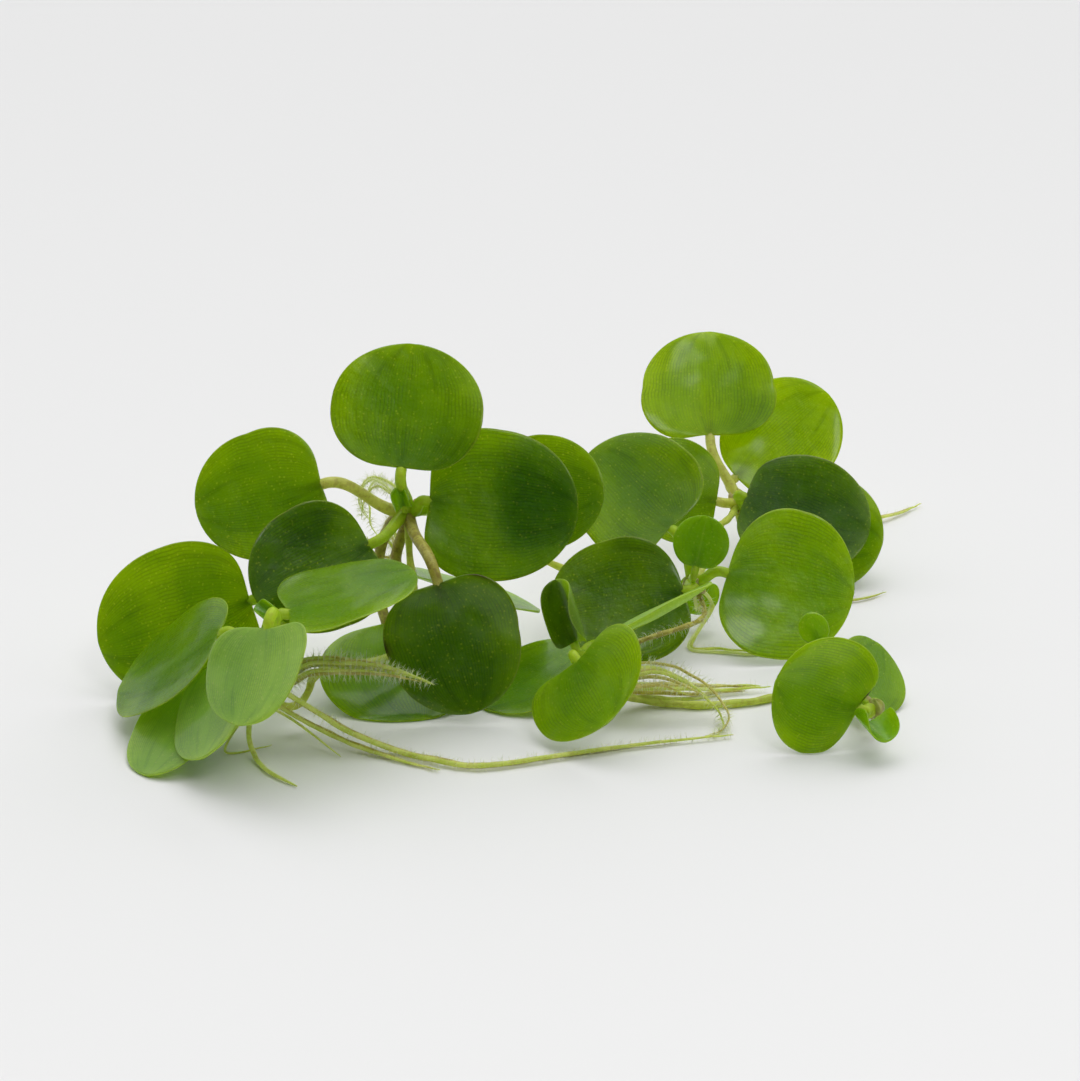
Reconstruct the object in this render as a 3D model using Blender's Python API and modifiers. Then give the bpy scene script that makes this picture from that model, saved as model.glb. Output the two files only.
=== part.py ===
"""Amazon frogbit: a small colony of six rosettes joined by runners, lying on a flat surface.

Rosettes are lettered a front left, b centre left, c centre, d front centre, e back right,
f front right. Rows hold millimetres, x to the right, y away from the front, z up.
"""
import math
from collections import namedtuple

import bmesh
import bpy
from mathutils import Vector

MM = 0.001

BLADE_THICKNESS = 0.5
BLADE_COLUMNS = 4
BLADE_ROWS = 7
NOTCH_WIDTH = 0.3
NOTCH_SPREAD = 0.1
STALK_RADIUS_FOOT = 0.62
STALK_RADIUS_NECK = 0.48
STALK_REACH_INTO_BLADE = 1.6
STALK_STEPS = 3
CROWN_RADIUS = 1.9
CROWN_GAP = 0.3
CROWN_SEGMENTS = 8
CROWN_RINGS = 5
RUNNER_RADIUS = 0.55
ROOT_TIP = 0.3
TUBE_STEP = 6.2

CROWNS = {
    "a": (-42.1, -39.7, 8.5),
    "b": (-22.7, -11.2, 25.3),
    "c": (22.1, -1.2, 9.6),
    "d": (6.5, -32.2, 7.7),
    "e": (31.9, 30.8, 11.6),
    "f": (46.2, -38.2, 4.5),
}

Leaf = namedtuple("Leaf", "base tip face width lobe cup roll leave skew shoulder")


def leaf(base, tip, face, width, lobe=3.0, cup=0.8, roll=0.0, leave=None, skew=0.0, shoulder=0.0):
    """One leaf: base and tip of its midrib, the way its upper side faces, and its width.

    lobe is how far the two lobes reach back past the base, cup the rise of the margin towards
    the upper side, roll the radius of a blade still rolled up, leave the stalk's first direction.
    skew makes one lobe reach further back than the other, and shoulder makes the base end broader.
    """
    return Leaf(Vector(base), Vector(tip), Vector(face), width, lobe, cup, roll, leave, skew, shoulder)


LEAVES = {
    "a1": leaf((-48.5, -38.2, 16.3), (-65.0, -30.2, 4.1), (-0.56, -0.25, 0.78),
               20.5, 2.2, skew=0.3, leave=(-0.6, 0.1, 0.8)),
    "a2": leaf((-51.0, -36.8, 7.9), (-57.5, -51.7, 0.5), (-0.45, -0.54, 0.67),
               16.0, 2.4, leave=(-1, 0.1, 0.1)),
    "a3": leaf((-46.9, -42.6, 14.2), (-49.0, -55.8, 5.2), (-0.67, -0.44, 0.5),
               18.2, 2.0, leave=(-0.5, -0.6, 0.6)),
    "a4": leaf((-40.0, -51.5, 22.7), (-43.3, -58.9, 11.6), (-0.58, -0.43, 0.66),
               20.2, 4.0, skew=-0.4, leave=(0.25, -0.7, 0.6)),
    "a5": leaf((-38.4, -38.7, 20.1), (-20.3, -33.7, 24.0), (-0.18, -0.1, 0.98),
               20.0, 3.5, shoulder=0.2, leave=(0.55, 0.1, 0.83)),
    "a6": leaf((-40.3, -34.7, 16.9), (-43.7, -32.2, 18.6), (-0.3, -0.6, 0.7),
               4.2, 0.6, 0.0, 1.1, leave=(0, 0.8, 0.6)),
    "a7": leaf((-46.5, -19.2, 13.8), (-69.0, -23.2, 7.7), (0.0, -0.93, 0.36),
               23.7, 2.5, shoulder=0.1, leave=(-0.6, 0.8, 0)),
    "b1": leaf((-23.3, -15.2, 33.8), (-21.6, -5.2, 50.3), (0.0, -0.8, 0.6),
               23.3, 1.2, skew=0.2, shoulder=0.2, leave=(0, -0.3, 1)),
    "b2": leaf((-35.5, -15.2, 31.2), (-54.2, -17.7, 27.8), (0.0, -0.9, 0.43),
               19.6, 1.2, skew=-0.4, shoulder=0.3, leave=(-1, -0.3, 0.15)),
    "b3": leaf((-28.1, -19.7, 23.1), (-44.7, -27.7, 17.8), (0.0, -0.93, 0.36),
               19.5, 1.4, skew=-0.5, shoulder=0.2, leave=(-0.55, -0.8, -0.2)),
    "b4": leaf((-19.2, -13.2, 27.8), (3.4, -14.2, 26.4), (0.0, -0.89, 0.46),
               23.4, 2.8, skew=0.1, shoulder=0.14, leave=(0.75, -0.6, 0.25)),
    "b5": leaf((-17.4, -28.7, 20.3), (-12.2, -33.5, 1.7), (0.0, -0.97, 0.25),
               19.6, 0.9, skew=-0.4, shoulder=0.3, leave=(0.2, -0.85, -0.5)),
    "b6": leaf((-8.9, -9.8, 28.0), (7.4, -11.8, 28.6), (0.0, -0.89, 0.46),
               17.8, 1.5, shoulder=0.1, leave=(1, 0.15, 0.1)),
    "b7": leaf((-22.8, -9.2, 14.8), (-2.4, -11.6, 9.0), (0.31, 0.24, 0.92),
               17.0, 1.5, leave=(0.05, 0.75, -0.65)),
    "b8": leaf((-26.0, -15.7, 8.5), (-19.9, -32.7, -0.2), (0.0, -0.35, 0.94),
               25.6, 2.0, leave=(-0.85, 0.1, -0.5)),
    "b9": leaf((-23.2, -14.7, 27.5), (-24.1, -15.7, 30.7), (0.0, -0.9, 0.4),
               5.0, 0.6, 0.0, 1.2, leave=(0, -0.7, 0.7)),
    "c1": leaf((18.5, 0.8, 18.4), (6.2, 10.3, 28.4), (0.0, -0.8, 0.6),
               21.2, 2.3, skew=-0.3, shoulder=0.2, leave=(-0.2, 0.2, 1)),
    "c2": leaf((22.1, -7.2, 14.8), (23.8, -4.2, 22.1), (0.0, -0.85, 0.53),
               8.9, 0.6, 0.4, leave=(-0.1, -0.6, 0.8)),
    "c3": leaf((27.3, -5.7, 13.1), (46.9, -7.7, 9.5), (0.0, -0.88, 0.47),
               24.0, 1.0, skew=0.8, shoulder=0.16, leave=(0.65, -0.65, 0.4)),
    "c4": leaf((20.1, -8.2, 11.0), (-0.8, -10.7, 8.1), (0.0, -0.87, 0.5),
               20.0, 0.9, skew=-0.8, shoulder=0.2, leave=(-0.4, -0.9, 0.2)),
    "c5": leaf((24.3, 3.8, 7.8), (21.7, 3.3, 2.7), (0.0, -0.9, 0.4), 7.0, 1.5, leave=(0.1, 0.8, -0.6)),
    "d1": leaf((2.7, -26.7, 10.2), (-0.2, -24.7, 19.4), (0.1, -0.92, 0.39),
               10.0, 1.2, 0.0, 3.6, leave=(-0.5, 0.4, 0.8)),
    "d2": leaf((2.9, -38.2, 12.0), (7.4, -47.2, 6.8), (-0.67, -0.47, 0.58),
               21.0, 3.4, leave=(-0.9, -0.5, 0.1)),
    "d3": leaf((7.5, -30.2, 12.3), (23.2, -25.2, 19.1), (-0.43, 0.29, 0.78),
               7.5, 1.0, 1.2, leave=(0.3, 0, 0.95)),
    "d4": leaf((4.2, -16.7, 4.6), (-11.1, -28.7, 0.3), (-0.1, -0.1, 0.98),
               18.0, 1.5, leave=(-0.5, 0.8, -0.3)),
    "e1": leaf((27.2, 36.8, 22.3), (26.8, 47.3, 37.9), (0.0, -0.76, 0.65),
               23.1, 1.4, skew=-0.3, shoulder=0.28, leave=(-0.3, 0.3, 0.9)),
    "e2": leaf((32.3, 40.2, 13.4), (48.9, 46.6, 26.6), (0.0, -0.87, 0.5),
               20.6, 0.8, leave=(0.5, 0.8, 0.2)),
    "e3": leaf((32.7, 25.3, 14.9), (52.8, 18.8, 10.0), (0.0, -0.8, 0.6),
               21.5, 2.0, leave=(0.5, -0.8, 0.1)),
    "e4": leaf((27.6, 25.8, 14.0), (12.8, 15.3, 21.7), (0.0, -0.9, 0.43), 17.8, 1.5),
    "e5": leaf((35.3, 31.2, 8.2), (56.0, 23.3, 6.7), (0.0, -0.8, 0.6), 22.8, 1.5, leave=(0.8, 0.6, -0.3)),
    "f1": leaf((43.3, -41.2, 6.0), (31.6, -41.2, 10.8), (0.0, -0.95, 0.3),
               17.8, 1.6, skew=0.8, shoulder=0.1),
    "f2": leaf((45.8, -32.2, 2.7), (49.0, -22.2, 8.0), (0.63, -0.2, 0.74),
               13.0, 1.0, leave=(0.3, 0.9, 0.2)),
    "f3": leaf((44.7, -42.2, 4.3), (46.4, -47.7, 3.8), (0.2, -0.1, 0.95), 9.5, 1.0, 0.0, 1.75),
    "f4": leaf((38.5, -31.7, 12.6), (36.9, -31.2, 16.7), (-0.3, -0.8, 0.5),
               4.5, 0.5, 0.6, leave=(-0.8, 0.1, 0.6)),
}

RUNNERS = {
    "ab": ("a", "b", [(-39.8, -36.7, 4.3), (-37.6, -35.7, 4.3), (-36.3, -34.7, 6.0),
           (-35.6, -33.7, 7.6), (-32.2, -31.7, 8.8), (-26.3, -27.7, 7.7), (-22.3, -23.7, 9.2),
           (-21.4, -18.7, 13.7), (-22.3, -15.2, 19.2)]),
    "bc": ("b", "c", [(-18.2, -1.2, 21.2), (-8.8, 1.8, 15.8), (4.1, 4.8, 8.6), (15.4, 1.8, 6.5)]),
    "cd": ("c", "d", [(23.7, -5.2, 6.9), (22.5, -13.2, 8.2), (19.0, -19.2, 9.3), (12.7, -24.2, 9.3),
           (9.3, -26.7, 8.4)]),
    "ce": ("c", "e", [(24.5, 3.8, 11.3), (26.2, 10.8, 13.9), (29.6, 21.8, 12.3)]),
    "df": ("d", "f", [(8.9, -32.2, 4.5), (14.1, -28.2, 1.2), (21.6, -28.5, 0.7), (29.2, -27.4, 0.7),
           (34.7, -25.6, 0.7), (42.1, -30.5, 1.1)]),
}

ROOTS = {
    "a1": ("a", 1.8, [(-39.3, -38.2, 9.1), (-35.7, -37.7, 11.1), (-30.6, -37.7, 11.1),
           (-25.6, -37.2, 10.4), (-21.3, -36.7, 9.1), (-17.9, -36.2, 7.4)]),
    "a2": ("a", 0.5, [(-39.1, -42.2, 9.0), (-34.0, -42.1, 5.5), (-29.7, -43.2, 3.2),
           (-23.2, -44.6, 1.0), (-18.1, -46.5, 0.5), (-10.9, -48.8, 0.5), (0.5, -45.5, 0.5),
           (12.1, -41.9, 0.5), (25.8, -38.6, 0.5)]),
    "a3": ("a", 0.4, [(-40.4, -42.7, 7.5), (-35.5, -42.2, 4.0), (-29.7, -43.3, 1.5),
           (-22.4, -46.6, 0.4), (-16.5, -49.8, 0.4)]),
    "a4": ("a", 0.3, [(-41.1, -44.7, 8.3), (-36.9, -42.6, 4.0), (-30.9, -45.4, 0.3)]),
    "a5": ("a", 0.45, [(-43.2, -44.7, 7.0), (-44.1, -44.9, 4.0), (-43.2, -46.2, 1.0),
           (-40.8, -50.3, 0.5), (-36.3, -54.8, 0.4)]),
    "a6": ("a", 0.3, [(-45.1, -41.2, 4.8), (-47.7, -44.1, 0.6), (-44.2, -43.2, 0.3),
           (-41.3, -41.2, 0.3)]),
    "b1": ("b", 0.6, [(-24.8, -6.2, 26.8), (-28.3, -2.2, 27.2), (-30.2, -1.2, 24.2),
           (-29.7, -1.2, 20.0), (-26.9, -3.2, 16.8)]),
    "b2": ("b", 0.6, [(-25.9, -7.7, 22.0), (-25.1, -4.2, 16.7), (-26.3, -6.2, 15.5),
           (-28.5, -6.2, 16.8), (-29.6, -5.2, 19.1)]),
    "c1": ("c", 0.7, [(22.7, -2.2, 7.1), (22.7, -3.7, 5.6)]),
    "c2": ("c", 0.35, [(25.4, 0.8, 4.8), (21.6, -5.6, 0.5), (26.2, -7.2, 0.5), (32.5, -8.0, 0.5),
           (39.4, -2.9, 0.4)]),
    "d1": ("d", 0.7, [(10.1, -30.2, 7.3), (14.8, -27.7, 6.7), (20.0, -29.2, 5.3), (23.5, -32.2, 3.2),
           (25.0, -34.9, 1.2), (23.8, -38.0, 0.7), (21.7, -38.6, 0.5)]),
    "d2": ("d", 0.45, [(9.7, -33.7, 7.1), (15.3, -33.2, 7.1), (22.0, -34.2, 4.6)]),
    "d3": ("d", 0.35, [(9.9, -29.2, 3.6), (15.7, -26.7, 2.2), (25.0, -23.4, 0.5), (32.8, -21.9, 0.5)]),
    "e2": ("e", 0.35, [(32.6, 25.8, 7.8), (39.6, 14.0, 0.5), (50.0, 14.0, 0.5), (56.3, 17.9, 0.4)]),
    "e1": ("e", 0.6, [(33.4, 34.8, 8.7), (44.2, 42.8, 4.5), (60.8, 53.6, 1.2), (69.1, 62.4, 0.6)]),
}

LEAF_COLOUR = (0.12, 0.26, 0.012, 1.0)
CROWN_COLOUR = (0.23, 0.25, 0.05, 1.0)
RUNNER_COLOUR = (0.24, 0.38, 0.04, 1.0)
ROOT_COLOUR = (0.36, 0.37, 0.11, 1.0)


def clear_scene():
    """Removes the objects and materials that a new file starts with."""
    for item in list(bpy.data.objects):
        bpy.data.objects.remove(item, do_unlink=True)
    for item in list(bpy.data.materials):
        bpy.data.materials.remove(item)


def make_collection(name):
    """Makes the collection that holds every piece."""
    collection = bpy.data.collections.new(name)
    bpy.context.scene.collection.children.link(collection)
    return collection


def make_material(name, colour, roughness):
    """Makes a plain living-tissue material."""
    material = bpy.data.materials.new(name)
    material.use_nodes = True
    shader = material.node_tree.nodes["Principled BSDF"]
    shader.inputs["Base Color"].default_value = colour
    shader.inputs["Roughness"].default_value = roughness
    shader.inputs["Metallic"].default_value = 0.0
    return material


def evaluated_mesh(item):
    """Gives an object's mesh with its modifiers or bevel applied."""
    graph = bpy.context.evaluated_depsgraph_get()
    return bpy.data.meshes.new_from_object(item.evaluated_get(graph))


def weld(mesh):
    """Welds doubled points, faces the surface outwards and presses it flat where it lies down."""
    shape = bmesh.new()
    shape.from_mesh(mesh)
    bmesh.ops.remove_doubles(shape, verts=shape.verts, dist=0.00001)
    bmesh.ops.recalc_face_normals(shape, faces=shape.faces)
    for point in shape.verts:
        point.co.z = max(point.co.z, 0.0)
    shape.to_mesh(mesh)
    shape.free()
    mesh.shade_smooth()


def along(points, step):
    """Reads evenly spaced points from a smooth curve through the route's own points."""
    route = [points[0], *points, points[-1]]
    found = []
    for a, b, c, d in zip(route, route[1:], route[2:], route[3:]):
        count = max(1, round((c - b).length / step))
        for k in range(count):
            t = k / count
            found.append(0.5 * ((2 * b) + (c - a) * t + (2 * a - 5 * b + 4 * c - d) * t ** 2
                                + (3 * b - a - 3 * c + d) * t ** 3))
    found.append(points[-1])
    return found


def tube_mesh(name, points, radii):
    """Makes a closed six-sided tube through the points."""
    curve = bpy.data.curves.new(name, "CURVE")
    curve.dimensions = "3D"
    curve.bevel_depth = MM
    curve.bevel_resolution = 1
    curve.use_fill_caps = True
    spline = curve.splines.new("POLY")
    spline.points.add(len(points) - 1)
    for point, place, radius in zip(spline.points, points, radii):
        point.co = (place.x * MM, place.y * MM, place.z * MM, 1.0)
        point.radius = radius
    item = bpy.data.objects.new(name, curve)
    bpy.context.scene.collection.objects.link(item)
    mesh = evaluated_mesh(item)
    bpy.data.objects.remove(item)
    weld(mesh)
    return mesh


def from_crown(crown, towards):
    """Gives the point where a stalk, runner or root starts, a small gap from its crown."""
    centre = Vector(CROWNS[crown])
    return centre + (towards - centre).normalized() * (CROWN_RADIUS + CROWN_GAP)


def blade_frame(row):
    """Gives the blade's length and its across, along and upper-side directions."""
    length = (row.tip - row.base).length
    forward = (row.tip - row.base) / length
    across = forward.cross(row.face).normalized()
    return length, across, forward, across.cross(forward)


def blade_point(row, s, t):
    """Places one point of the blade: s runs across it from -1 to 1, t from base to tip."""
    length, across, forward, upper = blade_frame(row)
    turn = math.pi * t
    side = math.copysign(1, s)
    lobe = row.lobe * (1 + row.skew * side)
    fuller = 1 + row.shoulder * math.sin(turn) ** 2 * max(0.0, math.cos(turn))
    notch = lobe * math.exp(-(turn / (NOTCH_WIDTH + NOTCH_SPREAD * row.lobe)) ** 2)
    margin_x = row.width / 2 * math.sin(turn) * side * fuller
    margin_y = (length - lobe) / 2 - (length + lobe) / 2 * math.cos(turn) * fuller + notch
    rib_y = length * (1 - math.cos(turn)) / 2
    x = abs(s) * margin_x
    y = rib_y + abs(s) * (margin_y - rib_y)
    rise_x = x * 2 / row.width
    rise_y = y * 2 / length - 1
    z = row.cup * (rise_x ** 2 + 0.5 * rise_y ** 2 - 0.5)
    if row.roll:
        angle = x / row.roll
        x = row.roll * math.sin(angle)
        z = row.roll * (1 - math.cos(angle))
    return row.base + across * x + forward * y + upper * z


def make_blade(name, row):
    """Makes the blade from a grid drawn to the leaf's outline and thickened."""
    shape = bmesh.new()
    bmesh.ops.create_grid(shape, x_segments=BLADE_COLUMNS, y_segments=BLADE_ROWS, size=1.0)
    for point in shape.verts:
        point.co = blade_point(row, point.co.x, (point.co.y + 1) / 2) * MM
    bmesh.ops.remove_doubles(shape, verts=shape.verts, dist=0.00001)
    mesh = bpy.data.meshes.new(name)
    shape.to_mesh(mesh)
    shape.free()
    item = bpy.data.objects.new(name, mesh)
    bpy.context.scene.collection.objects.link(item)
    solidify = item.modifiers.new("thickness", "SOLIDIFY")
    solidify.thickness = BLADE_THICKNESS * MM
    solidify.offset = 0.0
    return item


def make_stalk(name, crown, row):
    """Makes the stalk, from beside its crown into the base of the blade."""
    length, across, forward, upper = blade_frame(row)
    start = from_crown(crown, row.base)
    reach = (row.base - start).length / 3
    leaving = Vector(row.leave) if row.leave else row.base - start
    if row.leave:
        start = from_crown(crown, Vector(CROWNS[crown]) + leaving)
    second = start + leaving.normalized() * reach
    third = row.base - forward * reach
    points = []
    for k in range(STALK_STEPS + 1):
        t = k / STALK_STEPS
        points.append(start * (1 - t) ** 3 + second * 3 * t * (1 - t) ** 2
                      + third * 3 * t ** 2 * (1 - t) + row.base * t ** 3)
    points.append(row.base + forward * STALK_REACH_INTO_BLADE)
    radii = [STALK_RADIUS_FOOT + (STALK_RADIUS_NECK - STALK_RADIUS_FOOT) * k / (STALK_STEPS + 1)
             for k in range(STALK_STEPS + 2)]
    item = bpy.data.objects.new(name, tube_mesh(name, points, radii))
    bpy.context.scene.collection.objects.link(item)
    return item


def add_piece(name, mesh, material, collection):
    """Adds a finished piece to the colony."""
    mesh.materials.clear()
    mesh.materials.append(material)
    item = bpy.data.objects.new(name, mesh)
    collection.objects.link(item)
    return item


def add_leaf(key, row, collection):
    """Makes one leaf: its blade joined with its stalk."""
    blade = make_blade("blade", row)
    stalk = make_stalk("stalk", key[0], row)
    union = blade.modifiers.new("union", "BOOLEAN")
    union.operation = "UNION"
    union.solver = "EXACT"
    union.object = stalk
    mesh = evaluated_mesh(blade)
    bpy.data.objects.remove(blade)
    bpy.data.objects.remove(stalk)
    weld(mesh)
    add_piece(f"leaf_{key}", mesh, make_material(f"leaf_{key}", LEAF_COLOUR, 0.35), collection)


def add_crown(key, centre, collection):
    """Makes one crown: the short stem that a rosette's leaves, runners and roots grow from."""
    shape = bmesh.new()
    bmesh.ops.create_uvsphere(shape, u_segments=CROWN_SEGMENTS, v_segments=CROWN_RINGS,
                              radius=CROWN_RADIUS * MM)
    bmesh.ops.translate(shape, verts=shape.verts, vec=Vector(centre) * MM)
    mesh = bpy.data.meshes.new(f"crown_{key}")
    shape.to_mesh(mesh)
    shape.free()
    weld(mesh)
    add_piece(f"crown_{key}", mesh, make_material(f"crown_{key}", CROWN_COLOUR, 0.5), collection)


def add_runner(key, row, collection):
    """Makes one runner between two crowns."""
    first, last, bends = row
    bends = [Vector(bend) for bend in bends]
    points = along([from_crown(first, bends[0]), *bends, from_crown(last, bends[-1])], TUBE_STEP)
    mesh = tube_mesh(f"runner_{key}", points, [RUNNER_RADIUS] * len(points))
    add_piece(f"runner_{key}", mesh, make_material(f"runner_{key}", RUNNER_COLOUR, 0.4), collection)


def add_root(key, row, collection):
    """Makes one root, tapering from its crown to its tip."""
    crown, radius, bends = row
    bends = [Vector(bend) for bend in bends]
    points = along([from_crown(crown, bends[0]), *bends], TUBE_STEP)
    last = len(points) - 1
    radii = [radius * (1 - (1 - ROOT_TIP) * (k / last) ** 2) for k in range(last + 1)]
    mesh = tube_mesh(f"root_{key}", points, radii)
    add_piece(f"root_{key}", mesh, make_material(f"root_{key}", ROOT_COLOUR, 0.6), collection)


def build():
    """Builds the whole colony."""
    clear_scene()
    collection = make_collection("amazon_frogbit")
    for key, centre in CROWNS.items():
        add_crown(key, centre, collection)
    for key, row in LEAVES.items():
        add_leaf(key, row, collection)
    for key, row in RUNNERS.items():
        add_runner(key, row, collection)
    for key, row in ROOTS.items():
        add_root(key, row, collection)


build()
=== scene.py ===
"""Amazon frogbit: the looks of a small colony of six rosettes joined by runners, lying on a pale table.

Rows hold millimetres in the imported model's own frame: x to the right, y away from the front, z up.
Rosettes are lettered a front left, b centre left, c centre, d front centre, e back right, f front right.
"""
import math
import random

import bpy
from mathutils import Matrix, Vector, noise


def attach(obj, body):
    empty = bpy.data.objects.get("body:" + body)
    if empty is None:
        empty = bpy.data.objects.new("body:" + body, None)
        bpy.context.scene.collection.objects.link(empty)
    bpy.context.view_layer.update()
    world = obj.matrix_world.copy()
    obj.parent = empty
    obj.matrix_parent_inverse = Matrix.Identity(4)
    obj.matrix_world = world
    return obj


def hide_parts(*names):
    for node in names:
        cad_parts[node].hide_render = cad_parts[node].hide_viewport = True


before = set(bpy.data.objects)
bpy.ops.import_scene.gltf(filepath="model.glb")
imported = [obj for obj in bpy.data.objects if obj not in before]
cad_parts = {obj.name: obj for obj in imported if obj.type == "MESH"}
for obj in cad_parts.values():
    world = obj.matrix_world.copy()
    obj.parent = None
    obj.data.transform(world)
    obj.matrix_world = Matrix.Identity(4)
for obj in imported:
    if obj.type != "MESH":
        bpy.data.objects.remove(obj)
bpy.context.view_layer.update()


# Leaf tissue: a waxy, slightly see-through green skin over spongy cells.
# Fine dark veins curve from the notch to the tip half a millimetre apart, with short cross veins
# between them, tiny yellow specks, a lighter outer part, and a thin pale line along the margin.
def add_node(tree, kind, links=None, **settings):
    item = tree.nodes.new("ShaderNode" + kind)
    for name, value in settings.items():
        setattr(item, name, value)
    for name, value in (links or {}).items():
        if isinstance(value, bpy.types.NodeSocket):
            tree.links.new(value, item.inputs[name])
        else:
            item.inputs[name].default_value = value
    return item


def reckon(tree, operation, *values):
    return add_node(tree, "Math", dict(enumerate(values)), operation=operation).outputs[0]


def ramp(tree, value, low, high, start=0.0, end=1.0):
    item = add_node(tree, "MapRange", {"Value": value, "From Min": low, "From Max": high,
                                       "To Min": start, "To Max": end}, interpolation_type="SMOOTHSTEP")
    return item.outputs["Result"]


def tint(tree, amount, first, second):
    item = add_node(tree, "Mix", data_type="RGBA")
    for socket, value in ((item.inputs[0], amount), (item.inputs[6], first), (item.inputs[7], second)):
        if isinstance(value, bpy.types.NodeSocket):
            tree.links.new(value, socket)
        else:
            socket.default_value = value
    return item.outputs[2]


def part_of(tree, value, share):
    return reckon(tree, "MULTIPLY", value, share)


def in_millimetres(tree):
    place = add_node(tree, "TexCoord")
    scaled = add_node(tree, "VectorMath", {0: place.outputs["Object"], 1: (1000, 1000, 1000)}, operation="MULTIPLY")
    return place, scaled.outputs[0]


def mottling(tree, spot, scale, detail=2.0):
    return add_node(tree, "TexNoise", {"Vector": spot, "Scale": scale, "Detail": detail}).outputs["Fac"]


def leaf_tissue(name, cell, deep, vein, rim, glow, dusk, through, dull, rib):
    material = bpy.data.materials.new(name)
    material.use_nodes = True
    tree = material.node_tree
    place, millimetres = in_millimetres(tree)
    flat = add_node(tree, "SeparateXYZ", {0: place.outputs["UV"]})
    side = reckon(tree, "MULTIPLY_ADD", flat.outputs[0], 2.0, -1.0)
    reach = reckon(tree, "ABSOLUTE", side)
    along = flat.outputs[1]
    wander = mottling(tree, millimetres, 0.3)
    lane = reckon(tree, "MULTIPLY_ADD", side, 21.0, reckon(tree, "MULTIPLY_ADD", wander, 1.4, 40.0))
    ridge = reckon(tree, "ABSOLUTE", reckon(tree, "SUBTRACT", reckon(tree, "FRACT", lane), 0.5))
    long_vein = ramp(tree, ridge, 0.2, 0.5)
    shuffle = add_node(tree, "TexWhiteNoise", {"W": reckon(tree, "FLOOR", lane)}, noise_dimensions="1D").outputs["Value"]
    offset = reckon(tree, "MULTIPLY_ADD", shuffle, 0.4, part_of(tree, wander, 3.0))
    rung = reckon(tree, "MULTIPLY_ADD", along, 30.0, offset)
    step = reckon(tree, "ABSOLUTE", reckon(tree, "SUBTRACT", reckon(tree, "FRACT", rung), 0.5))
    cross_vein = part_of(tree, ramp(tree, step, 0.3, 0.5), 0.45)
    faded = ramp(tree, mottling(tree, millimetres, 0.22), 0.34, 0.62, 0.3, 1.0)
    net = reckon(tree, "MULTIPLY", reckon(tree, "MAXIMUM", long_vein, cross_vein), faded)
    cloud = ramp(tree, mottling(tree, millimetres, 0.13, 3.0), 0.36, 0.66)
    grain = mottling(tree, millimetres, 2.4, 3.0)
    speck_field = add_node(tree, "TexVoronoi", {"Vector": millimetres, "Scale": 1.5}).outputs["Distance"]
    speck = part_of(tree, ramp(tree, speck_field, 0.32, 0.14), ramp(tree, grain, 0.42, 0.58))
    streaming = add_node(tree, "CombineXYZ", {0: part_of(tree, side, 5.0), 1: part_of(tree, along, 1.6)}).outputs[0]
    streak = ramp(tree, mottling(tree, streaming, 1.3, 3.0), 0.48, 0.72)
    tip_end = reckon(tree, "ABSOLUTE", reckon(tree, "MULTIPLY_ADD", along, 2.0, -1.0))
    outer = reckon(tree, "MAXIMUM", ramp(tree, reach, 0.3, 1.0), ramp(tree, tip_end, 0.55, 1.0))
    fresh = reckon(tree, "MULTIPLY_ADD", outer, 0.55, part_of(tree, cloud, 0.45))
    notch = ramp(tree, along, 0.16, 0.02)
    margin = ramp(tree, reach, 0.962, 0.985)
    middle = part_of(tree, ramp(tree, reach, 0.05, 0.015), rib)
    scorch = add_node(tree, "Attribute", attribute_name="scorch").outputs["Fac"]
    scorched = part_of(tree, scorch, ramp(tree, grain, 0.3, 0.55, 0.5, 1.0))
    ground = tint(tree, fresh, deep, cell)
    ground = tint(tree, part_of(tree, notch, 0.2), ground, rim)
    ground = tint(tree, part_of(tree, streak, 0.35), ground, vein)
    ground = tint(tree, part_of(tree, net, 0.5), ground, vein)
    ground = tint(tree, part_of(tree, speck, 0.5), ground, rim)
    ground = tint(tree, middle, ground, rim)
    ground = tint(tree, part_of(tree, margin, 0.5), ground, rim)
    ground = tint(tree, scorched, ground, (0.10, 0.05, 0.012, 1))
    lit = tint(tree, fresh, dusk, glow)
    lit = tint(tree, part_of(tree, streak, 0.22), lit, vein)
    lit = tint(tree, part_of(tree, net, 0.34), lit, vein)
    lit = tint(tree, part_of(tree, speck, 0.45), lit, (0.95, 0.95, 0.1, 1))
    lit = tint(tree, scorched, lit, (0.06, 0.03, 0.01, 1))
    height = reckon(tree, "MULTIPLY_ADD", net, -0.7, part_of(tree, grain, 0.5))
    swell = mottling(tree, millimetres, 0.5, 3.0)
    broad = add_node(tree, "Bump", {"Strength": 0.3, "Distance": 0.0006, "Height": swell})
    relief = add_node(tree, "Bump", {"Strength": 0.4, "Distance": 0.00005, "Height": height,
                                     "Normal": broad.outputs["Normal"]})
    shader = tree.nodes["Principled BSDF"]
    shader.inputs["IOR"].default_value = 1.45
    shader.inputs["Coat Weight"].default_value = 1.0
    shader.inputs["Coat Roughness"].default_value = 0.15
    tree.links.new(ground, shader.inputs["Base Color"])
    tree.links.new(ramp(tree, grain, 0.3, 0.7, dull - 0.05, dull + 0.08), shader.inputs["Roughness"])
    tree.links.new(relief.outputs["Normal"], shader.inputs["Normal"])
    glowing = add_node(tree, "BsdfTranslucent", {"Color": lit, "Normal": broad.outputs["Normal"]})
    skin = add_node(tree, "MixShader", {0: through, 1: shader.outputs["BSDF"], 2: glowing.outputs["BSDF"]})
    tree.links.new(skin.outputs[0], tree.nodes["Material Output"].inputs["Surface"])
    return material


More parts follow.
